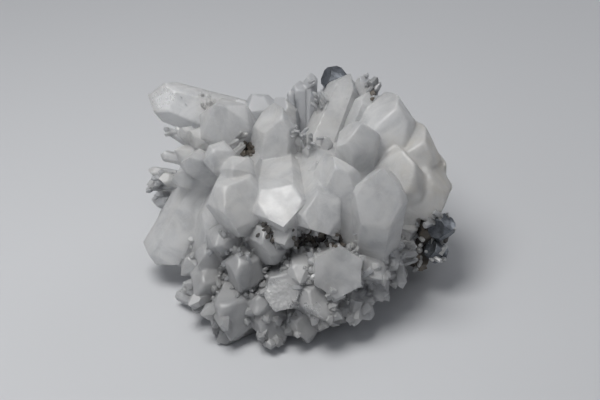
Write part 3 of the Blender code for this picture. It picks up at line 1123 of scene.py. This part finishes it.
@dataclass
class Druse:
    """The small quartz crystals in the creases and along the rim.

    A crease counts where the covered share of its sky is at least sheltered, with covers up
    to reach millimetres away. Above bare_above and nearer than bare_behind, both in the view,
    the creases stay bare. Sunk is how deep a crystal stands in the ground, in widths.
    """

    seed: int = 21
    tries: int = 6500
    sheltered: float = 0.56
    reach: float = 9
    widths: tuple[float, float] = (0.9, 2.8)
    bare_above: float = -9
    bare_behind: float = -18
    lowest_foot: float = 0.6
    stout_width: float = 0.6
    clear_share: float = 0.2
    lean: float = 0.55
    sunk: float = 0.5
    patch_gathering: float = 0.4
    patch_lean: float = 0.5
    patch_sunk: float = 0.8
    patch_lowest_foot: float = 0.8
    patch_lowest_tip: float = 0.4
    shapes_each: int = 4
    patches: Sequence[Patch] = (
        Patch(-44, 8, -6, 4, 9, Habit.STOUT, (1.2, 2.2), (-1.2, 0.2, 0)),
        Patch(-45, 2, -9, 4, 8, Habit.STOUT, (1.2, 2.4), (-1.1, -0.3, 0)),
        Patch(-40, 20, 0, 4, 4, Habit.STOUT, (1.6, 2.4), (-1.0, 0.4, 0), False),
        Patch(-28, 31, -6, 5, 12, Habit.STUBBY, (1.0, 2.4), (0, 0.6, 0), False),
        Patch(5, 34, -8, 5, 9, Habit.SLENDER, (0.8, 1.6), (0, 0.7, 0)),
        Patch(24, 38, -13, 5, 26, Habit.STUBBY, (1.0, 2.6), (0.2, 0.6, 0)),
        Patch(2, 20, 10, 4, 16, Habit.SLENDER, (0.7, 1.4), (0, 0.2, 0.5)),
        Patch(-19, 18, 11, 2.5, 12, Habit.SLENDER, (1.0, 1.7), (1.0, 0.9, 0.6), False),
        Patch(5, -13, 10, 6, 26, Habit.STUBBY, (1.0, 2.4), (0, 0.2, 0.5)),
        Patch(44, -12, 4, 8, 50, Habit.STUBBY, (0.9, 2.4), (0.4, -0.2, 0.2)),
        Patch(36, -18, 8, 8, 36, Habit.STUBBY, (1.2, 3.2), (0.3, -0.3, 0.2), False),
        Patch(27, -27, 14, 9, 30, Habit.STUBBY, (1.6, 4.4), (0.2, -0.2, 0.2), False),
        Patch(10, -40, 18, 10, 30, Habit.STUBBY, (1.8, 5.0), (0, -0.2, 0.2), False),
        Patch(-10, -44, 18, 10, 30, Habit.STUBBY, (1.8, 5.0), (0, -0.2, 0.2), False),
        Patch(-28, -40, 14, 9, 14, Habit.STUBBY, (4.0, 7.5), (-0.2, -0.2, 0.2), False),
        Patch(-34, -31, 6, 6, 9, Habit.STUBBY, (2.4, 4.5), (-0.3, -0.2, 0), False),
    )

    def build(self, quartz: Surface, milky: bpy.types.Material,
              clear: bpy.types.Material) -> list[bpy.types.Object]:
        """Grow all the small crystals.

        Args:
            quartz: The surface of the large crystals.
            milky: The finish of the milky ones.
            clear: The finish of the clear ones.

        Returns:
            The pieces.
        """
        chance = random.Random(self.seed)
        # Every habit is cut, also one that no patch asks for, so that chance keeps its order
        shapes = {
            habit: [small_crystal(habit, chance) for _ in range(self.shapes_each)] for habit in Habit
        }
        growths = (Growth("milky_druse", "quartz"), Growth("clear_druse", "quartz"))
        self.fill_creases(quartz, shapes, growths, chance)
        for patch in self.patches:
            self.grow_patch(patch, quartz, shapes, growths[patch.clear], chance)
        return [growths[0].piece(milky), growths[1].piece(clear)]

    def fill_creases(self, quartz: Surface, shapes: dict[Habit, list[Shape]],
                     growths: Sequence[Growth], chance: random.Random) -> None:
        """Set small crystals wherever the large ones leave a sheltered crease.

        Args:
            quartz: The surface of the large crystals.
            shapes: The small crystals to choose from, by habit.
            growths: The milky growth and the clear one.
            chance: The source of chance.
        """
        for _ in range(self.tries):
            foot, normal = quartz.pick(chance)
            shelter = quartz.shelter(foot, normal, self.reach * MM, chance)
            habit = chance.choice((Habit.STUBBY, Habit.STUBBY, Habit.STUBBY, Habit.STOUT))
            slimness = self.stout_width if habit is Habit.STOUT else 1
            width = chance.uniform(*self.widths) * MM * slimness
            lean = random_direction(chance)
            spin = chance.uniform(0, math.tau)
            growth = growths[chance.random() < self.clear_share]
            shape = chance.choice(shapes[habit])
            _, up, toward = VIEW.seen(foot)
            bare = up > self.bare_above and toward > self.bare_behind
            if bare or shelter < self.sheltered or foot.z < self.lowest_foot * MM:
                continue
            outward = (normal + lean * self.lean).normalized()
            growth.plant(shape, foot - outward * width * self.sunk, outward, width, spin)

    def grow_patch(self, patch: Patch, quartz: Surface, shapes: dict[Habit, list[Shape]],
                   growth: Growth, chance: random.Random) -> None:
        """Set the crystals of one patch.

        Args:
            patch: The patch.
            quartz: The surface of the large crystals.
            shapes: The small crystals to choose from, by habit.
            growth: The growth that they join.
            chance: The source of chance.
        """
        lean = VIEW.direction(*patch.lean)
        middle = VIEW.place(patch.across, patch.up, patch.toward)
        for _ in range(patch.count):
            way = random_direction(chance)
            spot = middle + way * patch.radius * MM * chance.random() ** self.patch_gathering
            foot, normal = quartz.near(spot)
            width = chance.uniform(*patch.width) * MM
            outward = (normal + lean + random_direction(chance) * self.patch_lean).normalized()
            spin = chance.uniform(0, math.tau)
            shape = chance.choice(shapes[patch.habit])
            tip = outward.z * width * patch.habit.value + foot.z
            if foot.z < self.patch_lowest_foot * MM or tip < self.patch_lowest_tip * MM:
                continue
            growth.plant(shape, foot - outward * width * self.patch_sunk, outward, width, spin)


@dataclass(frozen=True)
class Gap:
    """A gap between quartz crystals, as it is seen from the viewpoint."""

    across: float
    up: float
    radius: float


@dataclass
class OreGrains:
    """Dark grains of sphalerite that show in the gaps between the quartz crystals.

    A grain is set where the covered share of the sky is at least sheltered, with covers up to
    reach millimetres away, and raised by a share of its width.
    """

    seed: int = 4
    gaps: Sequence[Gap] = (
        Gap(-11, -11.5, 3.0), Gap(-1, -12.5, 3.0), Gap(5, -12.5, 3.2), Gap(11, -13.5, 3.0),
        Gap(-17, 16, 2.4), Gap(25, 33, 3), Gap(9, 38, 2.4),
    )
    per_gap: int = 34
    shape_count: int = 5
    widths: tuple[float, float] = (0.7, 1.8)
    sheltered: float = 0.35
    reach: float = 9
    raised: float = 0.2

    def build(self, quartz: Surface, material: bpy.types.Material) -> bpy.types.Object:
        """Set the grains on what is seen through each gap.

        Args:
            quartz: The surface of the quartz.
            material: Their finish.

        Returns:
            The piece.
        """
        chance = random.Random(self.seed)
        shapes = [ore_grain(chance) for _ in range(self.shape_count)]
        growth = Growth("sphalerite_grains", "sphalerite")
        eye = VIEW.place(0, 0, VIEW.distance)
        for gap in self.gaps:
            for _ in range(self.per_gap):
                bearing = chance.uniform(0, math.tau)
                out = gap.radius * math.sqrt(chance.random())
                aim = VIEW.place(
                    gap.across + out * math.cos(bearing), gap.up + out * math.sin(bearing), 0
                )
                width = chance.uniform(*self.widths) * MM
                spin = chance.uniform(0, math.tau)
                along = random_direction(chance)
                shape = chance.choice(shapes)
                foot, normal, _, _ = quartz.tree.ray_cast(eye, (aim - eye).normalized())
                if foot is None:
                    continue
                if quartz.shelter(foot, normal, self.reach * MM, chance) < self.sheltered:
                    continue
                growth.plant(shape, foot + normal * width * self.raised, along, width, spin)
        return growth.piece(material)


@dataclass
class OreMatrix:
    """The sphalerite lump, broken along its cleavage into steps.

    The base keeps its flat cut: nothing is sunk lower than base_faces faces above it.
    """

    node: str = "sphalerite_matrix"
    face_size: float = 0.8
    base_faces: float = 1.5
    step_size: float = 5.0
    step_depth: float = 1.1
    steps: int = 3
    step_shuffle: float = 9.7
    sharp: float = 28
    finish: Sphalerite = field(default_factory=Sphalerite)

    def build(self) -> bpy.types.Object:
        """Make the fine mesh of the lump and let it stand for the node.

        Returns:
            The piece.
        """
        body = remesh_evenly(bmesh_of(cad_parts[self.node]), self.face_size * MM)
        body.normal_update()
        lowest = self.base_faces * self.face_size * MM
        for vert in body.verts:
            if vert.co.z > lowest:
                vert.co -= vert.normal * self.sunk(vert.co)
        piece = add_piece("stepped_sphalerite", body, self.finish.make(), self.sharp)
        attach(piece, BODY)
        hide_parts(self.node)
        return piece

    def sunk(self, place: Vector) -> float:
        """Say how deep a cleavage step lies at a place.

        Args:
            place: A place on the lump, in metres.

        Returns:
            The depth in metres.
        """
        scale = 1 / (self.step_size * MM)
        cell = noise.voronoi(place * scale, distance_metric="CHEBYCHEV", exponent=1)[1][0]
        level = int(noise.cell(cell * self.step_shuffle) * self.steps + 0.999) / self.steps
        return abs(level) * self.step_depth * MM


@dataclass
class GalenaCrystals:
    """The galena crystals, with blunted edges and steps on their faces.

    Each step is the width of its border and how deep it is set in, in millimetres.
    """

    stepped_faces: int = 6
    steps: Sequence[tuple[float, float]] = ((0.9, -0.18), (0.8, -0.14))
    blunting: float = 0.07
    sharp: float = 20
    finish: Galena = field(default_factory=Galena)

    def build(self) -> list[bpy.types.Object]:
        """Make each crystal and let it stand for its node.

        Returns:
            The pieces.
        """
        metal = self.finish.make()
        names = [name for name in sorted(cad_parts) if name.startswith("galena")]
        return [self.crystal(name, metal) for name in names]

    def crystal(self, name: str, metal: bpy.types.Material) -> bpy.types.Object:
        """Make one crystal.

        Args:
            name: Its node's name.
            metal: Its finish.

        Returns:
            The piece.
        """
        body = bmesh_of(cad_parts[name])
        bmesh.ops.dissolve_limit(body, angle_limit=FLAT, verts=body.verts, edges=body.edges)
        faces = sorted(body.faces, key=lambda face: -face.calc_area())[:self.stepped_faces]
        for width, depth in self.steps:
            bmesh.ops.inset_individual(
                body, faces=faces, thickness=width * MM, depth=depth * MM, use_even_offset=True
            )
        bmesh.ops.bevel(
            body, geom=body.edges[:], offset=self.blunting * MM, offset_type="OFFSET", segments=1,
            profile=0.5, affect="EDGES", clamp_overlap=True,
        )
        piece = add_piece(name.replace("galena", "galena_crystal"), body, metal, self.sharp)
        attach(piece, BODY)
        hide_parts(name)
        return piece


@dataclass
class OreDruse:
    """Small quartz crystals strewn over the sphalerite and the galena, in patches.

    Tries is how many there are for a square with sides of square millimetres. A patch is
    where a noise with lumps of patch_size, plus patch_level, is over patch_edge. Ground that
    quartz covers within hidden_within millimetres, or that looks down, stays bare.
    """

    seed: int = 8
    tries: int = 1500
    square: float = 120
    widths: tuple[float, float] = (0.7, 2.4)
    bare_above: float = 40
    bare_below: float = 2.5
    patch_size: float = 7
    patch_level: float = 0.25
    patch_edge: float = 0.1
    hidden_within: float = 6
    steepest: float = -0.3
    lean: float = 0.5
    sunk: float = 0.5

    def build(self, ore: Sequence[bpy.types.Object], quartz: Surface,
              material: bpy.types.Material) -> bpy.types.Object:
        """Grow the crystals in patches on the ore.

        Args:
            ore: The lump and the galena crystals.
            quartz: The surface of the large crystals, which hides part of the ore.
            material: Their finish.

        Returns:
            The piece.
        """
        chance = random.Random(self.seed)
        shapes = [small_crystal(habit, chance) for habit in (Habit.STUBBY, Habit.STUBBY, Habit.STOUT)]
        growth = Growth("ore_druse", "quartz")
        for piece in ore:
            ground = Surface(piece)
            share = ground.running[-1] / (self.square * MM * self.square * MM)
            for _ in range(int(self.tries * share)):
                foot, normal = ground.pick(chance)
                width = chance.uniform(*self.widths) * MM
                lean = random_direction(chance)
                spin = chance.uniform(0, math.tau)
                shape = chance.choice(shapes)
                if self.stays_bare(foot, normal, quartz):
                    continue
                outward = (normal + lean * self.lean).normalized()
                growth.plant(shape, foot - outward * width * self.sunk, outward, width, spin)
        return growth.piece(material)

    def stays_bare(self, foot: Vector, normal: Vector, quartz: Surface) -> bool:
        """Say whether no crystal grows at a place.

        Args:
            foot: A place on the ore, in metres.
            normal: The way the ore looks there.
            quartz: The surface of the large crystals.

        Returns:
            Whether the place stays bare.
        """
        if not self.bare_below * MM <= foot.z < self.bare_above * MM or normal.z < self.steepest:
            return True
        if noise.noise(foot / (self.patch_size * MM)) + self.patch_level < self.patch_edge:
            return True
        start = foot + normal * RAY_LIFT * MM
        return quartz.tree.ray_cast(start, normal, self.hidden_within * MM)[0] is not None


@dataclass(frozen=True)
class Lamp:
    """A round soft light: its place and its diameter in metres, its watts and its colour."""

    name: str
    place: tuple[float, float, float]
    size: float
    power: float
    colour: tuple[float, float, float]

    def hang(self, target: Vector) -> None:
        """Hang the lamp and aim it.

        Args:
            target: The place that it shines at.
        """
        data = bpy.data.lights.new(self.name, "AREA")
        data.shape = "DISK"
        data.size = self.size
        data.energy = self.power
        data.color = self.colour
        lamp = bpy.data.objects.new(self.name, data)
        lamp.location = self.place
        aim = target - lamp.location
        lamp.rotation_euler = aim.to_track_quat("-Z", "Y").to_euler()
        bpy.context.scene.collection.objects.link(lamp)


@dataclass
class Studio:
    """The floor, the lights and the camera. Lens and sensor are in millimetres."""

    lens: float = 93.75
    sensor: float = 36
    sight: float = 10
    floor_size: float = 6
    floor: PaleFloor = field(default_factory=PaleFloor)
    lamps: Sequence[Lamp] = (
        Lamp("key", (-0.12, -0.06, 0.43), 0.24, 1.42, (1.0, 0.99, 0.97)),
        Lamp("fill", (-0.60, -0.35, 0.35), 0.6, 0.38, (0.96, 0.98, 1.0)),
        Lamp("rim", (0.40, 0.45, 0.35), 0.4, 0.5, (1.0, 1.0, 1.0)),
    )
    room_colour: Colour = (0.90, 0.93, 1.0, 1)
    room_light: float = 0.21

    def build(self) -> None:
        """Set up the whole studio."""
        self.lay_floor()
        self.hang_lights()
        self.place_camera()

    def lay_floor(self) -> None:
        """Lay a large floor at the height that the cluster stands on."""
        bpy.ops.mesh.primitive_plane_add(size=self.floor_size, location=(0, 0, 0))
        floor = bpy.context.object
        floor.name = "floor"
        floor.data.materials.append(self.floor.make())

    def hang_lights(self) -> None:
        """Hang the soft lights and set the room's own light."""
        for lamp in self.lamps:
            lamp.hang(VIEW.place(0, 0, 0))
        world = bpy.data.worlds.new("room")
        world.use_nodes = True
        room = world.node_tree.nodes["Background"]
        room.inputs["Color"].default_value = self.room_colour
        room.inputs["Strength"].default_value = self.room_light
        bpy.context.scene.world = world
        bpy.context.scene.view_settings.view_transform = "Standard"

    def place_camera(self) -> None:
        """Put the camera where the cluster is looked at from."""
        data = bpy.data.cameras.new("camera")
        data.lens = self.lens
        data.sensor_width = self.sensor
        data.clip_end = self.sight
        camera = bpy.data.objects.new("camera", data)
        camera.location = VIEW.place(0, 0, VIEW.distance)
        back = camera.location - VIEW.place(0, 0, 0)
        camera.rotation_euler = back.to_track_quat("Z", "Y").to_euler()
        bpy.context.scene.collection.objects.link(camera)
        bpy.context.scene.camera = camera


def main() -> None:
    """Build the studio, dress the ore and build the quartz."""
    logging.basicConfig(level=logging.INFO, format="%(message)s")
    Studio().build()
    quartz = QuartzCluster().build()
    surface = Surface(quartz)
    milky, clear = quartz.data.materials
    matrix = OreMatrix().build()
    galena = GalenaCrystals().build()
    pieces = [quartz, matrix] + galena + Druse().build(surface, milky, clear)
    pieces.append(OreDruse().build([matrix] + galena, surface, milky))
    pieces.append(OreGrains().build(surface, matrix.data.materials[0]))
    for piece in pieces:
        log.info("%s: %d faces", piece.name, len(piece.data.polygons))


if __name__ == "__main__":
    main()
